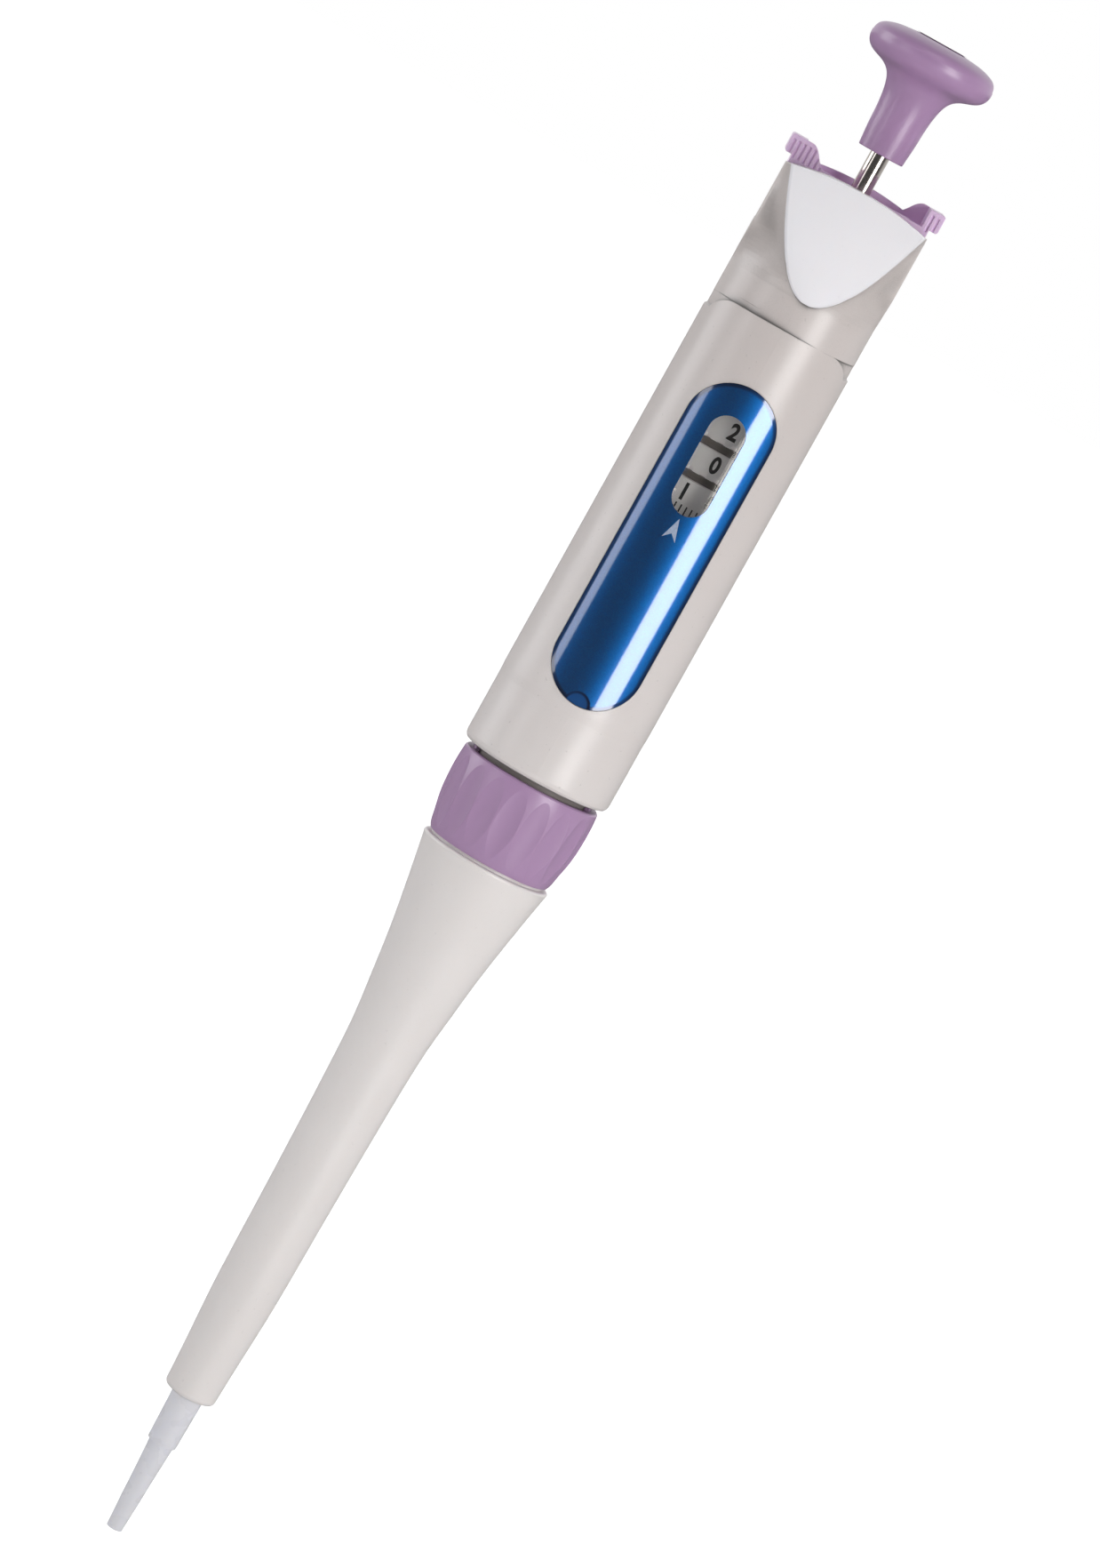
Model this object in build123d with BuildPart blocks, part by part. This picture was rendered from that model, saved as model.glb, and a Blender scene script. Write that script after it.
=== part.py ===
from build123d import *
import math
import os

os.makedirs("parts", exist_ok=True)

# Heights are counted from the open end of the nose cone; the frame sits on
# the axis at the middle of the grip land, so z() turns a height into world Z.
GRIP_H = 137.6
GRIP_R = 12.08
GRIP_L = 10.0
BODY_R = 12.15
HEAD_R = 11.85
BORE_R = 10.3
LEG_R0 = 9.25
LEG_R1 = 9.95
LEG_HALF_DEG = 16
NOTCH_HALF_DEG = 21
ROD_R = 1.55
PISTON_R = 0.95
NECK_R = 9.1
DRUM_R = 7.0
PINION_Y = 8.25
FLUTES = 18
RUN = 0.05


def z(h):
    return h - GRIP_H


def zs(points):
    return [(r, z(h)) for r, h in points]


def turned(points):
    """Solid of revolution from (radius, height) corners, in the open part."""
    with BuildSketch(Plane.XZ) as profile:
        with BuildLine():
            Polyline(*zs(points), close=True)
        make_face()
    revolve(profile.sketch, axis=Axis.Z)


def ring(r_in, r_out, h0, h1):
    """Plain tube between two heights, in the open part."""
    turned([(r_in, h0), (r_out, h0), (r_out, h1), (r_in, h1)])


def arc_wedge(half_deg, r_out, h0, h1, mode):
    """Pair of wedges about +X and -X that clear or form the ejector legs."""
    edge = math.radians(half_deg)
    with BuildSketch(Plane.XY.offset(z(h0))) as profile:
        for side in (1, -1):
            with BuildLine():
                far = (side * r_out * math.cos(edge), r_out * math.sin(edge))
                low = (side * r_out * math.cos(edge), -r_out * math.sin(edge))
                Line((0, 0), far)
                ThreePointArc(far, (side * r_out, 0), low)
                Line(low, (0, 0))
            make_face()
    extrude(profile.sketch, amount=h1 - h0, mode=mode)


def save(solid, label):
    solid.part.label = label
    export_step(solid.part, f"parts/{label}.step")


# ---------------------------------------------------------------- plunger
with BuildPart() as push_button:
    with BuildSketch(Plane.XZ):
        with BuildLine():
            Line((ROD_R, z(236.4)), (3.45, z(236.4)))
            ThreePointArc((3.45, z(236.4)), (3.6, z(236.45)), (3.66, z(236.6)))
            Spline(
                (3.66, z(236.6)), (3.79, z(238.1)), (3.95, z(240.2)), (4.04, z(242.3)),
                (4.17, z(243.8)), (4.41, z(245.4)), (4.7, z(246.5)), (5.3, z(247.7)),
                (6.4, z(248.6)), (7.8, z(249.15)), (8.9, z(249.65)), (9.6, z(250.3)),
                (9.98, z(251.1)), (10.05, z(252.2)),
            )
            Line((10.05, z(252.2)), (4.0, z(252.2)))
            Line((4.0, z(252.2)), (4.0, z(250.0)))
            Line((4.0, z(250.0)), (ROD_R, z(250.0)))
            Line((ROD_R, z(250.0)), (ROD_R, z(236.4)))
        make_face()
    revolve(axis=Axis.Z)
save(push_button, "push_button")

with BuildPart() as button_cap:
    with BuildSketch(Plane.XZ):
        with BuildLine():
            Line((0, z(250.2)), (3.95, z(250.2)))
            Line((3.95, z(250.2)), (3.95, z(252.2)))
            Line((3.95, z(252.2)), (9.98, z(252.2)))
            Spline(
                (9.98, z(252.2)), (9.93, z(252.6)), (9.7, z(253.2)), (9.2, z(253.72)),
                (8.3, z(254.15)), (6.6, z(254.6)), (3.6, z(254.93)), (0, z(255.0)),
                tangents=[(0, 1), (-1, 0)],
            )
            Line((0, z(255.0)), (0, z(250.2)))
        make_face()
    revolve(axis=Axis.Z)
save(button_cap, "button_cap")

with BuildPart() as plunger_rod:
    turned([(0, 135), (ROD_R, 135), (ROD_R, 250), (0, 250)])
save(plunger_rod, "plunger_rod")

with BuildPart() as stop_flange:
    turned([
        (0, 115), (2.0, 115), (2.0, 133), (5.5, 133), (5.5, 134.6), (5.1, 135), (0, 135),
    ])
save(stop_flange, "stop_flange")

with BuildPart() as piston_head:
    turned([
        (PISTON_R, 112.4), (1.8, 112.4), (1.8, 113), (3.6, 113), (3.6, 115), (0, 115),
        (0, 114), (PISTON_R, 114),
    ])
save(piston_head, "piston_head")

with BuildPart() as piston:
    turned([(0, 34), (PISTON_R - 0.15, 34), (PISTON_R, 34.3), (PISTON_R, 114), (0, 114)])
save(piston, "piston")

# ------------------------------------------------------------ volume drive
with BuildPart() as volume_screw:
    turned([(ROD_R + 0.1, 135.1), (2.65, 135.1), (2.95, 135.5), (2.95, 160), (ROD_R + 0.1, 160)])
    with BuildSketch(Plane.XY.offset(z(160))):
        RegularPolygon(3.95, 6, major_radius=False)
        Circle(ROD_R + 0.1, mode=Mode.SUBTRACT)
    extrude(amount=8)
save(volume_screw, "volume_screw")

with BuildPart() as volume_nut:
    ring(3.0, 5.0, 140, 149)
save(volume_nut, "volume_nut")

with BuildPart() as drive_hub:
    turned([
        (0, 150.3), (5.9, 150.3), (6.2, 150.6), (6.2, 170.2), (4.5, 170.2), (4.5, 196.5),
        (4.3, 196.7), (0, 196.7),
    ])
    with BuildSketch(Plane.XY.offset(z(150.3))):
        RegularPolygon(4.0, 6, major_radius=False)
    extrude(amount=18.2, mode=Mode.SUBTRACT)
    with BuildSketch(Plane.XY.offset(z(160))):
        Circle(ROD_R + 0.1)
    extrude(amount=40, mode=Mode.SUBTRACT)
    with BuildSketch(Plane.XZ):
        with Locations((4.4, z(196.0))):
            Rectangle(0.4, 0.5)
    revolve(axis=Axis.Z, mode=Mode.SUBTRACT)
save(drive_hub, "drive_hub")

with BuildPart() as hub_circlip:
    with BuildSketch(Plane.XY.offset(z(195.75))):
        Circle(5.6)
        Circle(4.2, mode=Mode.SUBTRACT)
        with Locations((0, 5)):
            Rectangle(3.2, 3.2, mode=Mode.SUBTRACT)
    extrude(amount=0.5)
save(hub_circlip, "hub_circlip")

with BuildPart() as friction_ring:
    ring(6.25, 8.8, 167.4, 170.4)
save(friction_ring, "friction_ring")

# ----------------------------------------------------------------- counter
with BuildPart() as counter_frame:
    for low, high in ((170.4, 172.0), (194.0, 195.6)):
        ring(4.5 + RUN, BORE_R, low, high)
        arc_wedge(NOTCH_HALF_DEG, 12, low, high, Mode.SUBTRACT)
        ring(4.5 + RUN, 8.6, low, high)
    with BuildSketch(Plane.XY.offset(z(172.0))):
        with Locations((5.2, 6.4), (-5.2, 6.4)):
            Circle(0.8)
    extrude(amount=22)
save(counter_frame, "counter_frame")


def spacer(h0, h1):
    """Fixed washer between two drums, with two arms out to the frame posts."""
    with BuildSketch(Plane.XY.offset(z(h0))) as profile:
        Circle(7.05)
        for side in (1, -1):
            with Locations((side * 5.2, 6.4)):
                Circle(1.3)
        Circle(4.5 + RUN, mode=Mode.SUBTRACT)
        with Locations((5.2, 6.4), (-5.2, 6.4)):
            Circle(0.8, mode=Mode.SUBTRACT)
    extrude(profile.sketch, amount=h1 - h0)


with BuildPart() as counter_spacer_lower:
    spacer(181.5, 182.6)
save(counter_spacer_lower, "counter_spacer_lower")

with BuildPart() as counter_spacer_upper:
    spacer(186.95, 188.1)
save(counter_spacer_upper, "counter_spacer_upper")


def drum(bore, h0, h1, notches):
    """Number drum; the driven drums carry a row of notches in the lower rim."""
    turned([
        (bore, h0), (DRUM_R, h0), (DRUM_R, h1 - 0.15), (DRUM_R - 0.15, h1), (bore, h1),
    ])
    if notches:
        with BuildSketch(Plane.XY.offset(z(h0))) as profile:
            with PolarLocations(DRUM_R, notches):
                Rectangle(2.4, 0.95)
        extrude(profile.sketch, amount=0.65, mode=Mode.SUBTRACT)


with BuildPart() as counter_drum_low:
    drum(4.5, 173.0, 181.4, 0)
save(counter_drum_low, "counter_drum_low")

with BuildPart() as counter_drum_mid:
    drum(4.5 + RUN, 182.65, 186.9, 20)
save(counter_drum_mid, "counter_drum_mid")

with BuildPart() as counter_drum_top:
    drum(4.5 + RUN, 188.15, 193.4, 20)
save(counter_drum_top, "counter_drum_top")

with BuildPart() as pinion_shaft:
    with BuildSketch(Plane.XY.offset(z(172.0))):
        with Locations((0, PINION_Y)):
            Circle(0.45)
    extrude(amount=22)
save(pinion_shaft, "pinion_shaft")


def pinion(h0, h1):
    """Eight-tooth carry pinion on the shaft behind the drums."""
    with BuildSketch(Plane.XY.offset(z(h0))) as profile:
        with Locations((0, PINION_Y)):
            Circle(0.8)
            with PolarLocations(0.9, 8):
                Rectangle(0.46, 0.34)
            Circle(0.5, mode=Mode.SUBTRACT)
    extrude(profile.sketch, amount=h1 - h0)


with BuildPart() as transfer_pinion_lower:
    pinion(180.2, 183.9)
save(transfer_pinion_lower, "transfer_pinion_lower")

with BuildPart() as transfer_pinion_upper:
    pinion(185.7, 189.4)
save(transfer_pinion_upper, "transfer_pinion_upper")

# ---------------------------------------------------- finger hook sections
APEX_H = 212.2
HOOK_FROM_H = 207.4
HEAD_CORE_R = 11.6
PAD_GROWTH = 7.3
PAD_LEAN = 0.75
PAD_PROUD = 0.42
PAD_EDGE = 0.4
HOOK_REACH = 8.2
SLOT_Y = 6.25


def mix(a, b, t):
    return a + (b - a) * t


def eased(t):
    t = min(max(t, 0), 1)
    return t * t * (3 - 2 * t)


def pad_half(rise):
    return min(math.sqrt(PAD_GROWTH * max(rise, 0.07)), HEAD_R - 0.35)


def lean(rise):
    """The rest's centre line starts a little to the right and straightens out."""
    return PAD_LEAN * (1 - eased(rise / 20))


def front_edge(rise):
    """How far forward the hook's front corners stand, and the bulge between them."""
    w = pad_half(rise)
    circle = math.sqrt(HEAD_R ** 2 - w ** 2)
    flare = HEAD_R + HOOK_REACH * (max(rise, 0) / 18.4) ** 2.1
    share = eased(rise / 4)
    return mix(circle, flare, share), mix(HEAD_R - circle, 0.1 + 0.075 * w, share)


def hook_section(rise):
    """Head outline: half circle behind, slightly crowned front, hollow flanks."""
    w = pad_half(rise)
    f, crown = front_edge(rise)
    x = lean(rise)
    u = eased(rise / 7.5)
    s = mix(0.2, SLOT_Y + 1.1, u)
    sweep_angle = math.acos(w / HEAD_R)
    k = 4 / 3 * math.tan(sweep_angle / 4) * HEAD_R
    round_x, round_y = w + k * f / HEAD_R, f - k * w / HEAD_R
    px = mix(round_x, w + 0.1, u)
    py = mix(round_y, min(f - 0.3, SLOT_Y + 1.4), u)
    qy = mix(k, s + 2.0, u)
    with BuildSketch(Plane.XY.offset(z(APEX_H + rise))) as outline:
        with BuildLine():
            ThreePointArc((x - w, -f), (x, -f - crown), (x + w, -f))
            Bezier((x + w, -f), (min(x + px, HEAD_R), -py), (HEAD_R, -qy), (HEAD_R, -s))
            Line((HEAD_R, -s), (HEAD_R, 0))
            ThreePointArc((HEAD_R, 0), (0, HEAD_R), (-HEAD_R, 0))
            Line((-HEAD_R, 0), (-HEAD_R, -s))
            Bezier((-HEAD_R, -s), (-HEAD_R, -qy), (x - px, -py), (x - w, -f))
        make_face()
    return outline.sketch


def pad_section(rise):
    """Slice of the white rest: a thin band that stands a little proud of the hook."""
    w = pad_half(rise)
    f, crown = front_edge(rise)
    f += PAD_PROUD
    x = lean(rise)
    back = f - 1.2 - 0.04 * max(rise, 0)
    edge = min(PAD_EDGE, 0.3 * w)
    with BuildSketch(Plane.XY.offset(z(APEX_H + rise))) as outline:
        with BuildLine():
            ThreePointArc((x - w + edge, -f), (x, -f - crown), (x + w - edge, -f))
            Line((x + w - edge, -f), (x + w, edge - f))
            Line((x + w, edge - f), (x + w * 0.97, -back))
            Line((x + w * 0.97, -back), (x - w * 0.97, -back))
            Line((x - w * 0.97, -back), (x - w, edge - f))
            Line((x - w, edge - f), (x - w + edge, -f))
        make_face()
    return outline.sketch


HOOK_RISES = [HOOK_FROM_H - APEX_H, -1.0] + [0.07 + 0.7 * step for step in range(30)]
PAD_RISES = (0.07, 0.4, 1.2, 2.6, 4.6, 7.0, 9.6, 12.4, 15.2, 17.8, 20.4)


def trim_head_top(h_front, h_back):
    """Cut the head off along a surface that is arched across and tilts back."""
    with BuildSketch(Plane.XZ.offset(30)) as profile:
        with BuildLine():
            ThreePointArc((-20, z(h_front - 4.4)), (0, z(h_front)), (20, z(h_front - 4.4)))
            Line((20, z(h_front - 4.4)), (20, z(h_front + 20)))
            Line((20, z(h_front + 20)), (-20, z(h_front + 20)))
            Line((-20, z(h_front + 20)), (-20, z(h_front - 4.4)))
        make_face()
    extrude(profile.sketch, amount=-23, mode=Mode.SUBTRACT)
    with BuildSketch(Plane.XZ.offset(7.01)) as profile:
        with Locations((0, z(h_back + 10))):
            Rectangle(40, 20)
    extrude(profile.sketch, amount=-30, mode=Mode.SUBTRACT)


with BuildPart() as finger_rest_pad:
    loft(sections=[pad_section(rise) for rise in PAD_RISES])
    trim_head_top(230.7, 229.0)
save(finger_rest_pad, "finger_rest_pad")

# ------------------------------------------------------------------ handle
PLATE_H = 171.1
PLATE_W = 13.95
PLATE_L = 53.2
PLATE_FLOOR_R = 11.2
PLATE_RIM = 0.5
WINDOW_H = 184.75
WINDOW_W = 5.8
WINDOW_L = 16.3


def front_slot(length, width, height, depth_from, depth_to, mode):
    """Upright stadium pushed back from the front face of the handle."""
    with BuildSketch(Plane.XZ.offset(depth_from)) as profile:
        with Locations((0, z(height))):
            SlotOverall(length, width, rotation=90)
    extrude(profile.sketch, amount=depth_to - depth_from, mode=mode)


with BuildPart() as plate_recess:
    front_slot(PLATE_L + 0.1, PLATE_W + 0.1, PLATE_H, 5, 16, Mode.ADD)
    with BuildSketch(Plane.XY.offset(z(135))):
        Circle(PLATE_FLOOR_R)
    extrude(amount=70, mode=Mode.SUBTRACT)

with BuildPart() as handle_shell:
    turned([
        (0, 131.4), (11.15, 131.4), (11.7, 131.6), (11.97, 132.0),
        (GRIP_R, GRIP_H - GRIP_L / 2), (GRIP_R, GRIP_H + GRIP_L / 2), (BODY_R, 144.0),
        (BODY_R, 204.9), (HEAD_R - 0.03, 205.25), (HEAD_R - 0.03, HOOK_FROM_H),
        (HEAD_CORE_R, HOOK_FROM_H), (HEAD_CORE_R, HOOK_FROM_H + 1), (0, HOOK_FROM_H + 1),
    ])
    with BuildSketch(Plane.XZ.offset(13)):
        with Locations((0, z(HOOK_FROM_H - 4))):
            RectangleRounded(22.6, 8.0, 3.2)
    arch = extrude(amount=-26, mode=Mode.PRIVATE)
    with BuildSketch(Plane.XY.offset(z(200))) as arch_disc:
        Circle(BODY_R)
    arch_body = extrude(amount=9, mode=Mode.PRIVATE)
    add(arch & arch_body)
    loft(sections=[hook_section(rise) for rise in HOOK_RISES], ruled=True)
    trim_head_top(230.55, 228.8)
    with BuildSketch(Plane.XY.offset(z(131.4))):
        Circle(BORE_R)
    extrude(amount=94.6, mode=Mode.SUBTRACT)
    with BuildSketch(Plane.XY.offset(z(219.6))):
        Rectangle(30, 2 * SLOT_Y)
    extrude(amount=20, mode=Mode.SUBTRACT)
    add(plate_recess.part, mode=Mode.SUBTRACT)
    front_slot(WINDOW_L + 1.4, WINDOW_W + 1.4, WINDOW_H, 5, 16, Mode.SUBTRACT)
    add(finger_rest_pad.part, mode=Mode.SUBTRACT)
save(handle_shell, "handle_shell")

with BuildPart() as display_plate:
    front_slot(PLATE_L, PLATE_W, PLATE_H, 8, 16, Mode.ADD)
    with BuildSketch(Plane.XY.offset(z(140))):
        Circle(BODY_R - 0.02)
    extrude(amount=62, mode=Mode.INTERSECT)
    front_slot(PLATE_L - 2 * PLATE_RIM, PLATE_W - 2 * PLATE_RIM, PLATE_H, 8, 16, Mode.ADD)
    with BuildSketch(Plane.XY.offset(z(140))):
        Circle(BODY_R + 0.24)
    extrude(amount=62, mode=Mode.INTERSECT)
    with BuildSketch(Plane.XY.offset(z(140))):
        Circle(PLATE_FLOOR_R)
    extrude(amount=62, mode=Mode.SUBTRACT)
    front_slot(WINDOW_L, WINDOW_W, WINDOW_H, 8, 16, Mode.SUBTRACT)
    with BuildSketch(Plane.XZ.offset(11.6)):
        with Locations((0, z(144.6))):
            Circle(2.1)
    extrude(amount=3, mode=Mode.SUBTRACT)
save(display_plate, "display_plate")

with BuildPart() as display_lens:
    front_slot(WINDOW_L, WINDOW_W, WINDOW_H, 8, 16, Mode.ADD)
    with BuildSketch(Plane.XY.offset(z(170))):
        Circle(BODY_R + 0.05)
    extrude(amount=30, mode=Mode.INTERSECT)
    with BuildSketch(Plane.XY.offset(z(170))):
        Circle(PLATE_FLOOR_R)
    extrude(amount=30, mode=Mode.SUBTRACT)
save(display_lens, "display_lens")

with BuildPart() as head_guide:
    ring(ROD_R + 0.1, BORE_R, 197.2, 200)
    arc_wedge(NOTCH_HALF_DEG, 12, 197.2, 200, Mode.SUBTRACT)
    ring(ROD_R + 0.1, 8.6, 197.2, 200)
save(head_guide, "head_guide")

with BuildPart() as lower_housing:
    turned([
        (7.6, 113), (8.6, 113), (8.6, 125), (NECK_R, 125.5), (NECK_R, 144), (7.6, 144),
    ])
    ring(3.4, NECK_R, 138, 140)
    ring(5.0, NECK_R, 140, 150)
    ring(8.0, BORE_R, 144, 150)
    with BuildSketch(Plane.XY.offset(z(144))):
        for side in (1, -1):
            with Locations((side * 10.5, 0)):
                Rectangle(3.7, 7.4)
    extrude(amount=6, mode=Mode.SUBTRACT)
save(lower_housing, "lower_housing")

# ------------------------------------------------------------ liquid end
with BuildPart() as shaft:
    turned([
        (0.45, 0), (1.2, 0), (1.275, 0.1), (1.545, 5.2), (1.675, 8.6), (2.0, 15.0), (2.3, 15.05),
        (2.36, 15.4), (2.535, 23), (2.58, 26), (2.6, 58), (3.9, 66), (4.3, 82), (4.9, 92),
        (5.1, 96), (5.1, 113.1), (7.55, 113.1), (7.55, 117), (4.0, 117), (4.0, 92),
        (3.2, 92), (3.2, 84.2), (1.05, 84.2), (1.05, 17.6), (0.6, 17.0), (0.45, 15.0),
    ])
save(shaft, "shaft")

with BuildPart() as piston_seal:
    ring(PISTON_R + 0.02, 3.2, 84.2, 87.5)
save(piston_seal, "piston_seal")

with BuildPart() as seal_o_ring:
    with Locations((0, 0, z(88.6))):
        Torus(2.1, 1.05)
save(seal_o_ring, "seal_o_ring")

with BuildPart() as seal_retainer:
    ring(1.15, 3.2, 89.7, 92)
    ring(1.15, 3.9, 92, 93)
save(seal_retainer, "seal_retainer")


def coil(radius, wire, pitch, h0, h1):
    """Helical spring between two seats, in the open part."""
    with BuildLine():
        path = Helix(pitch, h1 - h0 - 2 * wire, radius, center=(0, 0, z(h0 + wire)))
    with BuildSketch(Plane(origin=path @ 0, z_dir=path % 0)) as profile:
        Circle(wire)
    sweep(profile.sketch, path=path, is_frenet=True)


with BuildPart() as piston_spring:
    coil(3.1, 0.35, 2.4, 93.0, 113.0)
save(piston_spring, "piston_spring")

with BuildPart() as blowout_spring:
    coil(4.75, 0.45, 1.7, 117.0, 126.0)
save(blowout_spring, "blowout_spring")

with BuildPart() as ejector_spring:
    coil(3.3, 0.35, 2.5, 200.0, 218.5)
save(ejector_spring, "ejector_spring")

# ----------------------------------------------------------------- ejector
SLEEVE = (
    (4.175, 24.6), (4.35, 29), (4.88, 39), (5.175, 53), (5.42, 66), (5.8, 80), (6.175, 87),
    (6.85, 93), (7.7, 100), (8.8, 107), (9.95, 113.5),
)

with BuildPart() as ejector_sleeve:
    with BuildSketch(Plane.XZ):
        with BuildLine():
            Line((2.68, z(23.5)), (3.35, z(23.5)))
            ThreePointArc((3.35, z(23.5)), (3.95, z(23.85)), SLEEVE[0][:1] + (z(24.6),))
            Spline(*zs(SLEEVE), (10.4, z(115.9)))
            ThreePointArc((10.4, z(115.9)), (10.38, z(116.35)), (10.1, z(116.5)))
            Line((10.1, z(116.5)), (9.3, z(116.5)))
            Line((9.3, z(116.5)), (9.3, z(121)))
            Line((9.3, z(121)), (8.75, z(121)))
            Line((8.75, z(121)), (8.75, z(113.0)))
            Polyline(*zs([
                (8.75, 113.0), (7.85, 107), (6.8, 100), (5.95, 93), (5.27, 87), (4.9, 80),
                (4.5, 66), (4.25, 53), (3.95, 39), (3.45, 29), (3.2, 26), (2.68, 26), (2.68, 23.5),
            ]))
        make_face()
    revolve(axis=Axis.Z)
save(ejector_sleeve, "ejector_sleeve")

with BuildPart() as ejector_carrier:
    ring(8.75, 10.0, 121.05, 124.8)
save(ejector_carrier, "ejector_carrier")

with BuildPart() as collar:
    with BuildSketch(Plane.XZ):
        with BuildLine():
            Line((9.4, z(117.0)), (9.85, z(117.0)))
            Spline(
                (9.85, z(117.0)), (10.1, z(117.5)), (10.45, z(119)), (11.05, z(122)),
                (11.33, z(125)), (11.38, z(127)), (11.32, z(128.8)), (11.2, z(130.35)),
            )
            Line((11.2, z(130.35)), (10.95, z(130.6)))
            Line((10.95, z(130.6)), (10.05, z(130.6)))
            Line((10.05, z(130.6)), (10.05, z(121.0)))
            Line((10.05, z(121.0)), (9.4, z(121.0)))
            Line((9.4, z(121.0)), (9.4, z(117.0)))
        make_face()
    revolve(axis=Axis.Z)
    flute_r = 5.0
    flute_tilt = math.degrees(math.atan2(1.0, 11.4))
    for step in range(FLUTES):
        with Locations(Rotation(0, 0, (step - 0.1) * 360 / FLUTES - 90)):
            with Locations(Location((10.82 + flute_r, 0, z(124.3)), (0, flute_tilt, 0))):
                Cylinder(flute_r, 24, mode=Mode.SUBTRACT)
save(collar, "collar")


def leg(side):
    """Curved bar that joins the crown to the carrier, inside the handle."""
    edge = math.radians(LEG_HALF_DEG)
    with BuildSketch(Plane.XY.offset(z(124.8))) as profile:
        with BuildLine():
            ax, ay = side * LEG_R1 * math.cos(edge), LEG_R1 * math.sin(edge)
            bx, by = side * LEG_R0 * math.cos(edge), LEG_R0 * math.sin(edge)
            ThreePointArc((ax, ay), (side * LEG_R1, 0), (ax, -ay))
            Line((ax, -ay), (bx, -by))
            ThreePointArc((bx, -by), (side * LEG_R0, 0), (bx, by))
            Line((bx, by), (ax, ay))
        make_face()
    extrude(profile.sketch, amount=226.5 - 124.8)


with BuildPart() as ejector_leg_left:
    leg(-1)
save(ejector_leg_left, "ejector_leg_left")

with BuildPart() as ejector_leg_right:
    leg(1)
save(ejector_leg_right, "ejector_leg_right")

TUB_Y = 6.0
TUB_IN_Y = 5.2
TUB_X = 8.2


def wing(side):
    """One thumb wing: end block, ramped side wall and the block on the leg."""
    with BuildSketch(Plane.XY.offset(z(226.5))) as profile:
        with Locations((side * 9.4, 0)):
            Rectangle(4.2, 2 * TUB_Y)
    extrude(profile.sketch, amount=3.8)
    with BuildSketch(Plane.XZ.offset(TUB_Y)) as profile:
        with BuildLine():
            Polyline(
                (side * 10.3, z(230.3)), (side * 12.55, z(230.3)), (side * 12.8, z(230.6)),
                (side * 12.8, z(233.0)), (side * 12.55, z(233.2)), (side * 10.3, z(233.2)),
                close=True,
            )
        make_face()
    extrude(profile.sketch, amount=-2 * TUB_Y)
    near = TUB_Y if side < 0 else -TUB_IN_Y
    with BuildSketch(Plane.XZ.offset(near)) as profile:
        with BuildLine():
            Line((side * 6.3, z(230.2)), (side * 10.4, z(230.2)))
            Line((side * 10.4, z(230.2)), (side * 10.4, z(233.2)))
            Line((side * 10.4, z(233.2)), (side * 9.4, z(233.2)))
            Spline(
                (side * 9.4, z(233.2)), (side * 8.9, z(233.0)), (side * 7.3, z(231.2)),
                (side * 6.3, z(230.4)),
            )
            Line((side * 6.3, z(230.4)), (side * 6.3, z(230.2)))
        make_face()
    extrude(profile.sketch, amount=-(TUB_Y - TUB_IN_Y))


with BuildPart() as ejector_crown:
    with BuildSketch(Plane.XY.offset(z(218.5))):
        RectangleRounded(2 * TUB_X, 2 * TUB_Y, 1.6)
    extrude(amount=8.2)
    with BuildSketch(Plane.XY.offset(z(226.5))):
        Rectangle(2 * TUB_X, 2 * TUB_Y)
    extrude(amount=3.9)
    wing(-1)
    wing(1)
    with BuildSketch(Plane.XZ.offset(-TUB_IN_Y)):
        with BuildLine():
            ThreePointArc((-9.6, z(230.4)), (0, z(231.4)), (9.6, z(230.4)))
            Line((9.6, z(230.4)), (9.6, z(229.5)))
            Line((9.6, z(229.5)), (-9.6, z(229.5)))
            Line((-9.6, z(229.5)), (-9.6, z(230.4)))
        make_face()
    extrude(amount=-(TUB_Y - TUB_IN_Y))
    with BuildSketch(Plane.XY.offset(z(219.8))):
        RectangleRounded(2 * TUB_X - 2.3, 2 * TUB_IN_Y, 0.8)
    extrude(amount=20, mode=Mode.SUBTRACT)
    with BuildSketch(Plane.XY.offset(z(227.8))):
        RectangleRounded(20.6, 2 * TUB_IN_Y, 0.6)
    extrude(amount=20, mode=Mode.SUBTRACT)
    with BuildSketch(Plane.XY.offset(z(217))):
        Circle(ROD_R + 0.1)
    extrude(amount=5, mode=Mode.SUBTRACT)
    for turn in (0, 180):
        with Locations(Rotation(0, 0, turn)):
            for x in [-12.15 + 0.86 * n for n in range(7)]:
                with Locations((x, -TUB_Y, z(231.2))):
                    Box(0.42, 0.5, 2.6, mode=Mode.SUBTRACT)
            for x in (11.05, 11.95):
                with Locations((x, -TUB_Y, z(231.2))):
                    Box(0.42, 0.5, 2.6, mode=Mode.SUBTRACT)
save(ejector_crown, "ejector_crown")
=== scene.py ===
import math

import bpy
from mathutils import Matrix, Vector


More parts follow.
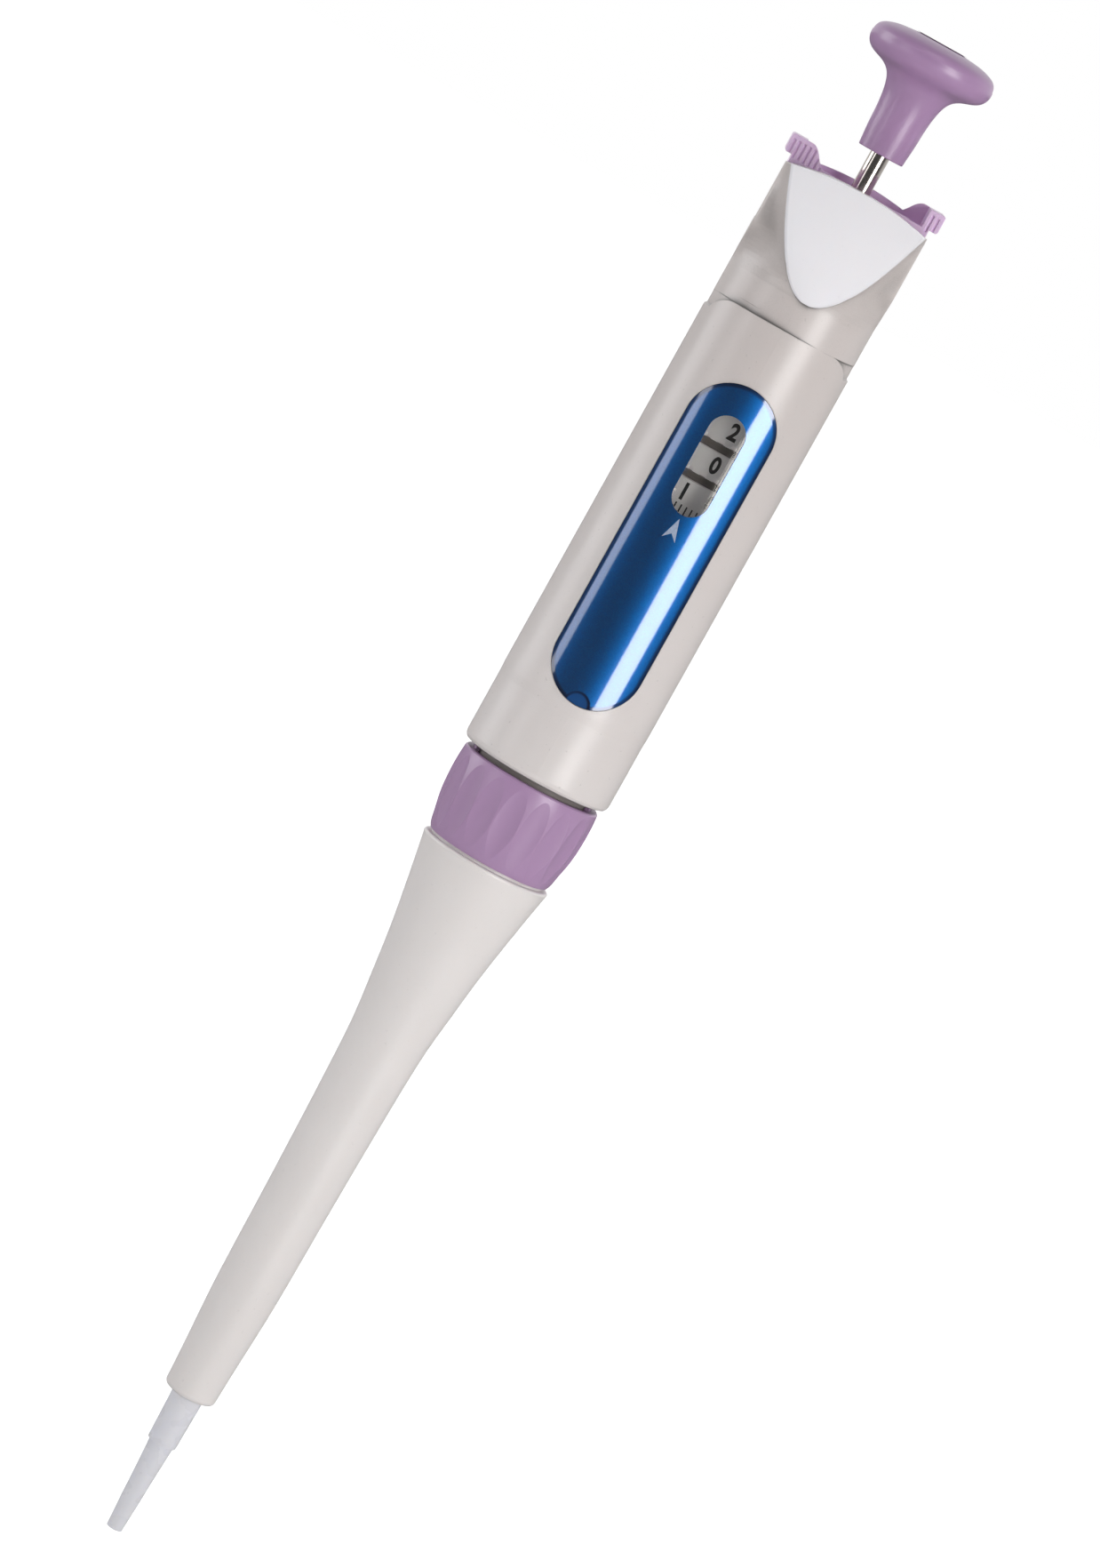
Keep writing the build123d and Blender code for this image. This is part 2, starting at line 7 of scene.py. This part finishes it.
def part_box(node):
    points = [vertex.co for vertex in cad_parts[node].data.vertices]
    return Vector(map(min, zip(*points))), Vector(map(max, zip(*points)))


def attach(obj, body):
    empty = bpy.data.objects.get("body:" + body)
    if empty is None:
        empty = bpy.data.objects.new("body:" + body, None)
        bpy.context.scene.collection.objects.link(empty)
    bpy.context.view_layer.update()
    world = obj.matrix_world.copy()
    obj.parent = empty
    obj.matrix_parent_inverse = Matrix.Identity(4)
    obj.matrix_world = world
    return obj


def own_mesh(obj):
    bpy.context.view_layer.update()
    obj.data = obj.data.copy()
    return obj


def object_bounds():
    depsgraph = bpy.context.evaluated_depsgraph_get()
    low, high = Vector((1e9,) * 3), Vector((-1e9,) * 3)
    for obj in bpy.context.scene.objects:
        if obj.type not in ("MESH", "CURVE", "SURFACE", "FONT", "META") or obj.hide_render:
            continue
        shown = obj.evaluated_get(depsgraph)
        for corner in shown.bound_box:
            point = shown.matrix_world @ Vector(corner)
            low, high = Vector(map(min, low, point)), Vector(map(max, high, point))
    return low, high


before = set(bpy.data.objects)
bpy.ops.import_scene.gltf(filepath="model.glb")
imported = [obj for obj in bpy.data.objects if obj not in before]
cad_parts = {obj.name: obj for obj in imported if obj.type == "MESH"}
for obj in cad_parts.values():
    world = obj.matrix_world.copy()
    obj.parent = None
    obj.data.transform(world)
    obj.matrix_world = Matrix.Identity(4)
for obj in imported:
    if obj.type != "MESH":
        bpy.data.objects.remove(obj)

CAD_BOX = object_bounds()
MM = 0.001
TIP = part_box("shaft")[0].z

# Radii from the axis.
BODY_R = 12.15 * MM
PLATE_R = BODY_R + 0.24 * MM
DRUM_R = 7.0 * MM

# How far printing stands off what it is printed on.
# The drums need more, as long strokes cut across their curve.
DRUM_PRINT_LIFT = 0.05 * MM
PLATE_PRINT_LIFT = 0.02 * MM

# The counter: (printed piece, body, digit shown, its place across the window, its height in millimetres).
DRUM_ROWS = (
    ("digits_top", "counter_top", 2, 1.0 * MM, 190.6),
    ("digits_mid", "counter_mid", 0, 0.9 * MM, 185.0),
    ("digits_low", "drive_hub", 1, -1.25 * MM, 179.5),
)
DIGITS_ROUND = 10
DIGIT_HEIGHT = 2.75 * MM
DIGIT_NARROWING = 0.82
TICKS_ROUND = 50
TICK_OFFSET = 0.3
TICK_WIDTH = 0.22 * MM
TICK_HEIGHT = 1.3 * MM
TICK_ROW = 176.95
POINTER_ROW = 174.25

# Painted shade: the shell's colour darkens toward the head between these heights in millimetres.
HEAD_SHADE_FROM = 135
HEAD_SHADE_TO = 205

# How far each spring shortens, in millimetres, and the joint that presses it.
SPRINGS = (
    ("piston_spring", "plunger_press", 9.5),
    ("blowout_spring", "plunger_press", 2.6),
    ("ejector_spring", "ejector_press", 6.5),
)

# Softboxes: name, azimuth from the front, height, distance, size, power, colour, height aimed at.
COOL_WHITE = (0.985, 0.985, 1.0)
WARM_WHITE = (1.0, 0.99, 0.985)
PLAIN_WHITE = (1.0, 1.0, 1.0)
SOFTBOXES = (
    ("key", 37, 0.10, 1.1, (0.48, 0.9), 8.6, WARM_WHITE, 0.02),
    ("left", -98, 0.05, 1.1, (0.60, 0.9), 4.6, COOL_WHITE, 0.0),
    ("strip", -55, 0.05, 1.1, (0.24, 0.9), 1.5, COOL_WHITE, 0.0),
    ("right", 100, 0.05, 1.1, (0.50, 0.9), 0.2, PLAIN_WHITE, 0.0),
    ("top", -5, 1.05, 0.8, (0.6, 0.4), 1.3, PLAIN_WHITE, 0.08),
)
ROOM_FRONT = 0.09
ROOM_BACK = 0.9
FLOOR_SIDE = 6.0
FLOOR_GAP = 0.002

# The camera: millimetres, degrees.
EYE_DISTANCE = 1053 * MM
EYE_HEIGHT = 252
EYE_BEARING = -1.5
EYE_YAW = 0.148
EYE_PITCH = -6.55
EYE_ROLL = 29.2
SENSOR_WIDTH = 36
FOCAL_LENGTH = 163.35


def at(h):
    """World Z of a height in millimetres above the open end of the tip cone."""
    return TIP + h * MM


# ------------------------------------------------------------- node helpers
def new_material(name):
    """An empty node material with its output and principled shader."""
    material = bpy.data.materials.new(name)
    material.use_nodes = True
    tree = material.node_tree
    tree.nodes.clear()
    shader = tree.nodes.new("ShaderNodeBsdfPrincipled")
    output = tree.nodes.new("ShaderNodeOutputMaterial")
    tree.links.new(shader.outputs["BSDF"], output.inputs["Surface"])
    return material, tree, shader


def setup(shader, **values):
    """Constant values, set on the shader's own sockets."""
    for key, value in values.items():
        shader.inputs[key.replace("_", " ")].default_value = value


def node(tree, kind, inputs=None, **settings):
    """A node of a kind, its inputs linked or set, and its own settings set."""
    made = tree.nodes.new(kind)
    for key, value in settings.items():
        setattr(made, key, value)
    for key, value in (inputs or {}).items():
        if isinstance(value, bpy.types.NodeSocket):
            tree.links.new(value, made.inputs[key])
        else:
            made.inputs[key].default_value = value
    return made


def object_coords(tree):
    return tree.nodes.new("ShaderNodeTexCoord").outputs["Object"]


def noise(tree, scale, detail=3.0, stretch=None):
    """Noise value in object space; stretch scales the space along each axis."""
    where = object_coords(tree)
    if stretch:
        where = node(tree, "ShaderNodeMapping", {"Vector": where, "Scale": stretch}).outputs["Vector"]
    made = node(tree, "ShaderNodeTexNoise", {"Vector": where, "Scale": scale, "Detail": detail})
    return made.outputs["Fac"]


def ramp(tree, value, low, high, out_low=0.0, out_high=1.0):
    """Value mapped straight from low..high to out_low..out_high, and held beyond."""
    made = node(tree, "ShaderNodeMapRange", {
        "Value": value, "From Min": low, "From Max": high, "To Min": out_low, "To Max": out_high,
    })
    return made.outputs["Result"]


def maths(tree, operation, a, b=0.0):
    made = node(tree, "ShaderNodeMath", {0: a, 1: b}, operation=operation)
    return made.outputs["Value"]


def blend_colour(tree, factor, a, b):
    """Colour a where the factor is 0 and colour b where it is 1."""
    made = node(tree, "ShaderNodeMix", {"Factor": factor}, data_type="RGBA")
    for socket, value in ((made.inputs[6], a), (made.inputs[7], b)):
        if isinstance(value, bpy.types.NodeSocket):
            tree.links.new(value, socket)
        else:
            socket.default_value = (*value, 1.0)
    return made.outputs[2]


def bump(tree, shader, height, distance, edge=0.0):
    """Surface relief; edge rounds the look of sharp corners by that radius."""
    made = node(tree, "ShaderNodeBump", {"Height": height, "Distance": distance})
    if edge:
        rounded = node(tree, "ShaderNodeBevel", {"Radius": edge}, samples=6)
        tree.links.new(rounded.outputs["Normal"], made.inputs["Normal"])
    tree.links.new(made.outputs["Normal"], shader.inputs["Normal"])


def srgb(red, green, blue):
    """Linear colour from 8-bit display values."""
    def lin(v):
        v /= 255
        return v / 12.92 if v <= 0.04045 else ((v + 0.055) / 1.055) ** 2.4
    return (lin(red), lin(green), lin(blue))


# ---------------------------------------------------------------- materials
def moulded(name, colour, dark, roughness, grain, specks=0.0, soft=0.05, radius=1.2, seam=False,
            edge=0.0, gloss=1.49, grain_scale=4200, recess_shade=1.0, painted_head_shade=None):
    """Moulded plastic: faint mottling, fine grain, a little depth, and specks of dust.

    Two arguments paint shade into the colour: a darker colour it turns to toward the head, and a
    darkening of the recesses that an ambient occlusion node finds.
    """
    material, tree, shader = new_material(name)
    cloud = ramp(tree, noise(tree, 70, 2), 0.2, 0.8)
    tone = blend_colour(tree, maths(tree, "MULTIPLY", cloud, 0.35), colour, dark)
    # Painted shade: the colour darkens toward the head.
    if painted_head_shade:
        rise = node(tree, "ShaderNodeSeparateXYZ", {"Vector": object_coords(tree)}).outputs["Z"]
        tone = blend_colour(tree, ramp(tree, rise, at(HEAD_SHADE_FROM), at(HEAD_SHADE_TO)), tone, painted_head_shade)
    if specks:
        dots = ramp(tree, noise(tree, 1900, 1), 0.735, 0.77, 0.0, specks)
        tone = blend_colour(tree, dots, tone, tuple(c * 0.55 for c in dark))
    # Painted shade: recesses found by an ambient occlusion node are darkened in the base colour.
    if recess_shade < 1.0:
        shade = node(tree, "ShaderNodeAmbientOcclusion", {"Distance": 12 * MM}, samples=8)
        painted_recess_shade = ramp(tree, shade.outputs["AO"], 0.7, 1.0, 1.0, 0.0)
        tone = blend_colour(tree, painted_recess_shade, tone, tuple(c * recess_shade for c in dark))
    tree.links.new(tone, shader.inputs["Base Color"])
    sheen_patch = ramp(tree, noise(tree, 160, 1), 0.2, 0.8, roughness - 0.02, roughness + 0.03)
    tree.links.new(sheen_patch, shader.inputs["Roughness"])
    height = noise(tree, grain_scale, 3)
    if seam:
        place = node(tree, "ShaderNodeSeparateXYZ", {"Vector": object_coords(tree)})
        line = ramp(tree, maths(tree, "ABSOLUTE", place.outputs["X"]), 0.0, 0.00018, 1.0, 0.0)
        front = ramp(tree, place.outputs["Y"], -0.0105, -0.0100, 1.0, 0.0)
        ridge = maths(tree, "MULTIPLY", line, front)
        height = maths(tree, "ADD", height, maths(tree, "MULTIPLY", ridge, 3.5))
    bump(tree, shader, height, grain, edge)
    setup(shader, Subsurface_Weight=soft, Subsurface_Scale=0.001, IOR=gloss)
    shader.inputs["Subsurface Radius"].default_value = (radius, radius * 0.8, radius * 0.7)
    return material


def shell_plastic():
    # Painted shade: the head end is darker than the grip, and recesses are darkened.
    return moulded("shell_grey", srgb(230, 224, 222), srgb(221, 214, 211), 0.33, 0.000003,
                   specks=0.3, soft=0.08, seam=True, edge=0.0003, gloss=1.68,
                   recess_shade=0.25, painted_head_shade=srgb(210, 202, 199))


def sleeve_plastic():
    return moulded("sleeve_grey", srgb(238, 233, 231), srgb(231, 226, 224), 0.34, 0.000003,
                   specks=0.12, soft=0.10, edge=0.0002, gloss=1.6)


def rest_plastic():
    return moulded("rest_white", srgb(247, 245, 249), srgb(242, 240, 245), 0.2, 0.0000015,
                   specks=0.08, soft=0.15, radius=2.0, edge=0.0003, gloss=1.6)


def lilac_plastic():
    return moulded("lilac", srgb(176, 142, 181), srgb(166, 131, 172), 0.3, 0.000006,
                   soft=0.08, radius=1.5, gloss=1.58, grain_scale=6500)


def lilac_edged():
    """The same lilac on pieces with moulded ribs, whose corners are rounded."""
    return moulded("lilac_edged", srgb(179, 146, 184), srgb(169, 135, 175), 0.3, 0.000006,
                   soft=0.08, radius=1.5, edge=0.0002, gloss=1.58, grain_scale=6500)


def lilac_painted_lit():
    """The ejector's rim, in a paler copy of the lilac: painted light, standing in for the light its wings
    and grooves get from above.
    """
    return moulded("lilac_painted_lit", srgb(232, 202, 236), srgb(222, 191, 227), 0.3, 0.000006,
                   soft=0.15, radius=1.5, edge=0.0002, gloss=1.58, grain_scale=6500)


def neck_plastic():
    return moulded("neck_grey", srgb(168, 160, 156), srgb(150, 142, 138), 0.5, 0.000004)


def spacer_plastic():
    return moulded("spacer_grey", srgb(128, 120, 116), srgb(110, 102, 98), 0.5, 0.000004)


def drum_plastic():
    material = moulded("drum_white", srgb(250, 248, 246), srgb(243, 240, 237), 0.42, 0.000002)
    shader = material.node_tree.nodes["Principled BSDF"]
    # Painted light: the drums glow faintly, as if lit through their translucent plastic.
    setup(shader, Emission_Color=(1.0, 0.96, 1.0, 1.0), Emission_Strength=0.1)
    return material


def black_plastic():
    return moulded("black_plastic", srgb(42, 41, 42), srgb(30, 29, 30), 0.45, 0.000004)


def ptfe():
    return moulded("seal_ptfe", srgb(238, 238, 236), srgb(228, 228, 226), 0.4, 0.000002, soft=0.2)


def seal_rubber():
    return moulded("seal_rubber", srgb(34, 34, 35), srgb(24, 24, 25), 0.6, 0.000008)


def cone_plastic():
    """Natural translucent plastic: milky, bluish, with light passing through."""
    material, tree, shader = new_material("cone_clear")
    cloud = ramp(tree, noise(tree, 60, 2, (1, 1, 0.25)), 0.3, 0.7)
    tone = blend_colour(tree, cloud, srgb(225, 225, 232), srgb(230, 230, 236))
    tree.links.new(tone, shader.inputs["Base Color"])
    tree.links.new(ramp(tree, noise(tree, 300, 2), 0.3, 0.7, 0.22, 0.32), shader.inputs["Roughness"])
    bump(tree, shader, noise(tree, 1500, 2, (1, 1, 0.2)), 0.000002)
    setup(shader, IOR=1.5, Subsurface_Weight=0.4, Subsurface_Scale=0.001)
    shader.inputs["Subsurface Radius"].default_value = (1.6, 1.8, 2.2)
    return material


def plate_lacquer():
    """Metallic flake blue under a clear gloss coat, darker toward the rim, with painted shade round the
    thumb notch and a painted highlight inside it.
    """
    material, tree, shader = new_material("plate_blue")
    where = object_coords(tree)
    flakes = node(tree, "ShaderNodeTexVoronoi", {"Vector": where, "Scale": 9000.0})
    sparkle = node(tree, "ShaderNodeSeparateColor", {"Color": flakes.outputs["Color"]})
    glint = ramp(tree, sparkle.outputs["Red"], 0.0, 1.0, 0.0, 0.30)
    tone = blend_colour(tree, glint, srgb(0, 94, 172), srgb(4, 130, 206))
    place = node(tree, "ShaderNodeSeparateXYZ", {"Vector": where})
    low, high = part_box("display_plate")
    half = (high.x - low.x) / 2
    above = maths(tree, "SUBTRACT", place.outputs["Z"], (low.z + high.z) / 2)
    past = maths(tree, "SUBTRACT", maths(tree, "ABSOLUTE", above), (high.z - low.z) / 2 - half)
    past = maths(tree, "MAXIMUM", past, 0.0)
    across = maths(tree, "POWER", maths(tree, "ABSOLUTE", place.outputs["X"]), 2.0)
    reach = maths(tree, "SQRT", maths(tree, "ADD", across, maths(tree, "POWER", past, 2.0)))
    rim = ramp(tree, reach, half - 0.7 * MM, half - 0.3 * MM, 0.0, 0.85)
    tone = blend_colour(tree, rim, tone, srgb(4, 34, 74))
    below = maths(tree, "SUBTRACT", place.outputs["Z"], low.z + 0.1 * MM)
    thumb = maths(tree, "SQRT", maths(tree, "ADD", across, maths(tree, "POWER", below, 2.0)))
    # Painted shade in a ring round the thumb notch, then a painted highlight inside the notch.
    tone = blend_colour(tree, ramp(tree, thumb, 1.9 * MM, 2.15 * MM, 0.8, 0.0), tone, srgb(2, 44, 92))
    tone = blend_colour(tree, ramp(tree, thumb, 1.5 * MM, 1.75 * MM, 0.7, 0.0), tone, srgb(34, 118, 206))
    tree.links.new(tone, shader.inputs["Base Color"])
    tree.links.new(ramp(tree, sparkle.outputs["Green"], 0.0, 1.0, 0.34, 0.48), shader.inputs["Roughness"])
    tree.links.new(ramp(tree, noise(tree, 90, 2), 0.3, 0.7, 0.97, 1.0), shader.inputs["Metallic"])
    bump(tree, shader, sparkle.outputs["Blue"], 0.000004)
    setup(shader, Coat_Weight=1.0, Coat_Roughness=0.1, Coat_IOR=2.0)
    return material


def window_clear():
    """Thin clear window: see-through, with a glossy face that mirrors the lights."""
    material, tree, shader = new_material("lens_clear")
    tree.links.new(ramp(tree, noise(tree, 200, 2), 0.3, 0.7, 0.06, 0.12), shader.inputs["Roughness"])
    tint = blend_colour(tree, noise(tree, 90, 2), srgb(240, 235, 228), srgb(246, 242, 236))
    tree.links.new(tint, shader.inputs["Base Color"])
    setup(shader, Metallic=1.0)
    clear = node(tree, "ShaderNodeBsdfTransparent", {"Color": (1.0, 1.0, 0.99, 1.0)})
    facing = node(tree, "ShaderNodeFresnel", {"IOR": 1.5})
    gloss = maths(tree, "MULTIPLY", facing.outputs["Fac"], 2.2)
    layered = node(tree, "ShaderNodeMixShader", {
        0: gloss, 1: clear.outputs["BSDF"], 2: shader.outputs["BSDF"],
    })
    tree.links.new(layered.outputs["Shader"], tree.nodes["Material Output"].inputs["Surface"])
    return material


def steel():
    """Ground and polished steel with fine rings round it."""
    material, tree, shader = new_material("steel")
    rings = noise(tree, 500, 2, (1, 1, 5))
    tone = blend_colour(tree, rings, srgb(186, 178, 170), srgb(208, 202, 196))
    tree.links.new(tone, shader.inputs["Base Color"])
    tree.links.new(ramp(tree, rings, 0.3, 0.7, 0.12, 0.18), shader.inputs["Roughness"])
    bump(tree, shader, rings, 0.0000002)
    setup(shader, Metallic=1.0)
    return material


def brass():
    material, tree, shader = new_material("brass")
    rings = noise(tree, 700, 4, (1, 1, 12))
    tone = blend_colour(tree, rings, srgb(190, 150, 82), srgb(214, 178, 110))
    tree.links.new(tone, shader.inputs["Base Color"])
    tree.links.new(ramp(tree, rings, 0.3, 0.7, 0.22, 0.36), shader.inputs["Roughness"])
    bump(tree, shader, rings, 0.000002)
    setup(shader, Metallic=1.0)
    return material


def ink(name, colour, roughness=0.5):
    """Printed ink with slightly uneven cover."""
    material, tree, shader = new_material(name)
    cover = ramp(tree, noise(tree, 2500, 3), 0.35, 0.65)
    tone = blend_colour(tree, cover, colour, tuple(min(1.0, c * 1.25 + 0.01) for c in colour))
    tree.links.new(tone, shader.inputs["Base Color"])
    uneven = ramp(tree, cover, 0.0, 1.0, roughness - 0.05, roughness + 0.05)
    tree.links.new(uneven, shader.inputs["Roughness"])
    return material


def paint_nodes():
    """Gives each CAD node its finished material."""
    finishes = {
        shell_plastic: ["handle_shell"],
        sleeve_plastic: ["ejector_sleeve"],
        rest_plastic: ["finger_rest_pad"],
        lilac_plastic: ["push_button", "button_cap", "ejector_leg_left", "ejector_leg_right",
                        "ejector_carrier"],
        lilac_edged: ["collar"],
        lilac_painted_lit: ["ejector_crown"],
        plate_lacquer: ["display_plate"],
        window_clear: ["display_lens"],
        neck_plastic: ["lower_housing"],
        spacer_plastic: ["counter_spacer_lower", "counter_spacer_upper"],
        cone_plastic: ["shaft"],
        steel: ["plunger_rod", "stop_flange", "piston_head", "piston", "volume_screw", "hub_circlip",
                "pinion_shaft", "piston_spring", "blowout_spring", "ejector_spring"],
        brass: ["volume_nut", "seal_retainer"],
        seal_rubber: ["friction_ring", "seal_o_ring"],
        ptfe: ["piston_seal"],
        drum_plastic: ["counter_drum_low", "counter_drum_mid", "counter_drum_top"],
        black_plastic: ["drive_hub", "counter_frame", "head_guide", "transfer_pinion_lower",
                        "transfer_pinion_upper"],
    }
    for make, names in finishes.items():
        material = make()
        for name in names:
            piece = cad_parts[name]
            piece.data.materials.clear()
            piece.data.materials.append(material)


# ------------------------------------------------------------------ printing
def text_mesh(text, height):
    """Flat triangulated outline of a short text, its capitals height tall, centred."""
    curve = bpy.data.curves.new("text", "FONT")
    curve.body = text
    curve.align_x = "CENTER"
    curve.align_y = "CENTER"
    curve.resolution_u = 6
    curve.offset = 0.035
    probe = bpy.data.objects.new("text", curve)
    bpy.context.scene.collection.objects.link(probe)
    bpy.context.view_layer.update()
    mesh = bpy.data.meshes.new_from_object(probe.evaluated_get(bpy.context.evaluated_depsgraph_get()))
    bpy.data.objects.remove(probe)
    tops = [v.co.y for v in mesh.vertices]
    scale = height / (max(tops) - min(tops))
    middle = (max(tops) + min(tops)) / 2
    lefts = [v.co.x for v in mesh.vertices]
    centre = (max(lefts) + min(lefts)) / 2
    points = [((v.co.x - centre) * scale, (v.co.y - middle) * scale) for v in mesh.vertices]
    faces = [tuple(p.vertices) for p in mesh.polygons]
    bpy.data.meshes.remove(mesh)
    return points, faces


def wrap(name, pieces, radius, material, body, narrow=1.0):
    """One mesh of flat outlines laid on a cylinder about the axis.

    pieces are (points, faces, angle, height): angle is measured from the front
    toward +X, and each point's x runs round the cylinder.
    """
    points, faces = [], []
    for outline, polygons, angle, height in pieces:
        start = len(points)
        for x, y in outline:
            turn = angle + x * narrow / radius
            points.append((radius * math.sin(turn), -radius * math.cos(turn), height + y))
        faces += [tuple(start + i for i in polygon) for polygon in polygons]
    mesh = bpy.data.meshes.new(name)
    mesh.from_pydata(points, [], faces)
    mesh.materials.append(material)
    piece = bpy.data.objects.new(name, mesh)
    bpy.context.scene.collection.objects.link(piece)
    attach(piece, body)


def bar(width, height):
    """Points and faces of an upright rectangle, centred."""
    return [(-width / 2, -height / 2), (width / 2, -height / 2), (width / 2, height / 2),
            (-width / 2, height / 2)], [(0, 1, 2, 3)]


def print_drums():
    """Ten digits round each drum, and the fine scale on the lowest one."""
    black = ink("digit_ink", srgb(22, 19, 21), 0.4)
    lift = DRUM_R + DRUM_PRINT_LIFT
    step = math.radians(36)
    for name, body, digit, across, height in DRUM_ROWS:
        first = math.asin(across / DRUM_R)
        pieces = []
        for n in range(DIGITS_ROUND):
            outline, polygons = text_mesh(str((digit - n) % DIGITS_ROUND), DIGIT_HEIGHT)
            pieces.append((outline, polygons, first + n * step, at(height)))
        wrap(name, pieces, lift, black, body, narrow=DIGIT_NARROWING)
    tick = bar(TICK_WIDTH, TICK_HEIGHT)
    turns = [math.tau * (n + TICK_OFFSET) / TICKS_ROUND for n in range(TICKS_ROUND)]
    ticks = [(*tick, turn, at(TICK_ROW)) for turn in turns]
    wrap("scale_ticks", ticks, lift, black, "drive_hub")


def print_plate():
    """A plain pointer under the window."""
    pale = ink("plate_ink", srgb(150, 164, 186), 0.35)
    arrow = [(0, 1.75 * MM), (1.1 * MM, -1.75 * MM), (0, -0.7 * MM), (-1.1 * MM, -1.75 * MM)]
    halves = [(0, 3, 2), (0, 2, 1)]
    lift = PLATE_R + PLATE_PRINT_LIFT
    wrap("pointer", [(arrow, halves, 0.0, at(POINTER_ROW))], lift, pale, "handle")


# -------------------------------------------------------------------- stage
def area_light(name, azimuth, height, distance, size, power, colour, aim):
    """Softbox at an azimuth from the front (+ is to the right), aimed at the axis."""
    light = bpy.data.lights.new(name, "AREA")
    light.shape = "RECTANGLE"
    light.size, light.size_y = size
    light.energy = power
    light.color = colour
    lamp = bpy.data.objects.new(name, light)
    turn = math.radians(azimuth)
    lamp.location = (distance * math.sin(turn), -distance * math.cos(turn), height)
    toward = Vector((0, 0, aim)) - lamp.location
    lamp.rotation_euler = toward.to_track_quat("-Z", "Y").to_euler()
    bpy.context.scene.collection.objects.link(lamp)


def light_stage():
    """A white room, dimmer in front of the pipette than behind it, and the softboxes."""
    world = bpy.data.worlds.new("white_room")
    bpy.context.scene.world = world
    world.use_nodes = True
    tree = world.node_tree
    back = tree.nodes["Background"]
    rays = tree.nodes.new("ShaderNodeLightPath")
    direction = tree.nodes.new("ShaderNodeTexCoord").outputs["Generated"]
    facing = node(tree, "ShaderNodeSeparateXYZ", {"Vector": direction})
    room = ramp(tree, facing.outputs["Y"], -0.3, 0.7, ROOM_FRONT, ROOM_BACK)
    seen = maths(tree, "MAXIMUM", room, rays.outputs["Is Camera Ray"])
    tree.links.new(seen, back.inputs["Strength"])
    back.inputs["Color"].default_value = (1, 1, 1, 1)
    for softbox in SOFTBOXES:
        area_light(*softbox)


def make_floor():
    """Pale floor, darker for mirrored rays only, so the plate's coat isn't clouded by it."""
    side = FLOOR_SIDE
    mesh = bpy.data.meshes.new("floor")
    low = CAD_BOX[0][2] - FLOOR_GAP
    mesh.from_pydata([(-side, -side, low), (side, -side, low), (side, side, low), (-side, side, low)],
                     [], [(0, 1, 2, 3)])
    floor = bpy.data.objects.new("floor", mesh)
    bpy.context.scene.collection.objects.link(floor)
    material, tree, shader = new_material("floor_white")
    tone = blend_colour(tree, noise(tree, 6, 2), srgb(246, 246, 246), srgb(250, 250, 250))
    rays = tree.nodes.new("ShaderNodeLightPath")
    mirrored = blend_colour(tree, rays.outputs["Is Glossy Ray"], tone, srgb(120, 120, 120))
    tree.links.new(mirrored, shader.inputs["Base Color"])
    glow = ramp(tree, rays.outputs["Is Camera Ray"], 0.0, 1.0, 0.0, 0.75)
    tree.links.new(glow, shader.inputs["Emission Strength"])
    setup(shader, Roughness=0.9, Emission_Color=(1, 1, 1, 1))
    mesh.materials.append(material)


def make_camera():
    """Eye a little to the left of the front; the picture is rolled so the pipette leans right."""
    distance = EYE_DISTANCE
    bearing = math.radians(EYE_BEARING)
    yaw = math.radians(EYE_YAW)
    pitch = math.radians(EYE_PITCH)
    roll = math.radians(EYE_ROLL)
    camera = bpy.data.cameras.new("camera")
    camera.sensor_width = SENSOR_WIDTH
    camera.lens = FOCAL_LENGTH
    eye = bpy.data.objects.new("camera", camera)
    place = Vector((distance * math.sin(bearing), -distance * math.cos(bearing), at(EYE_HEIGHT)))
    forward = Vector((-math.sin(bearing), math.cos(bearing), 0))
    forward = Matrix.Rotation(-yaw, 3, "Z") @ forward
    right = forward.cross(Vector((0, 0, 1))).normalized()
    look = (forward * math.cos(pitch) + Vector((0, 0, 1)) * math.sin(pitch)).normalized()
    up = right.cross(look).normalized()
    right_rolled = right * math.cos(roll) + up * math.sin(roll)
    up_rolled = up * math.cos(roll) - right * math.sin(roll)
    turn = Matrix((right_rolled, up_rolled, -look)).transposed()
    eye.matrix_world = Matrix.Translation(place) @ turn.to_4x4()
    bpy.context.scene.collection.objects.link(eye)
    bpy.context.scene.camera = eye


def spring_moves():
    """Gives each spring a mesh of its own."""
    for name, joint, stroke in SPRINGS:
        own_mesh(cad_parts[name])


paint_nodes()
print_drums()
print_plate()
spring_moves()
light_stage()
make_floor()
make_camera()
bpy.context.scene.view_settings.view_transform = "Standard"
bpy.context.scene.view_settings.look = "None"
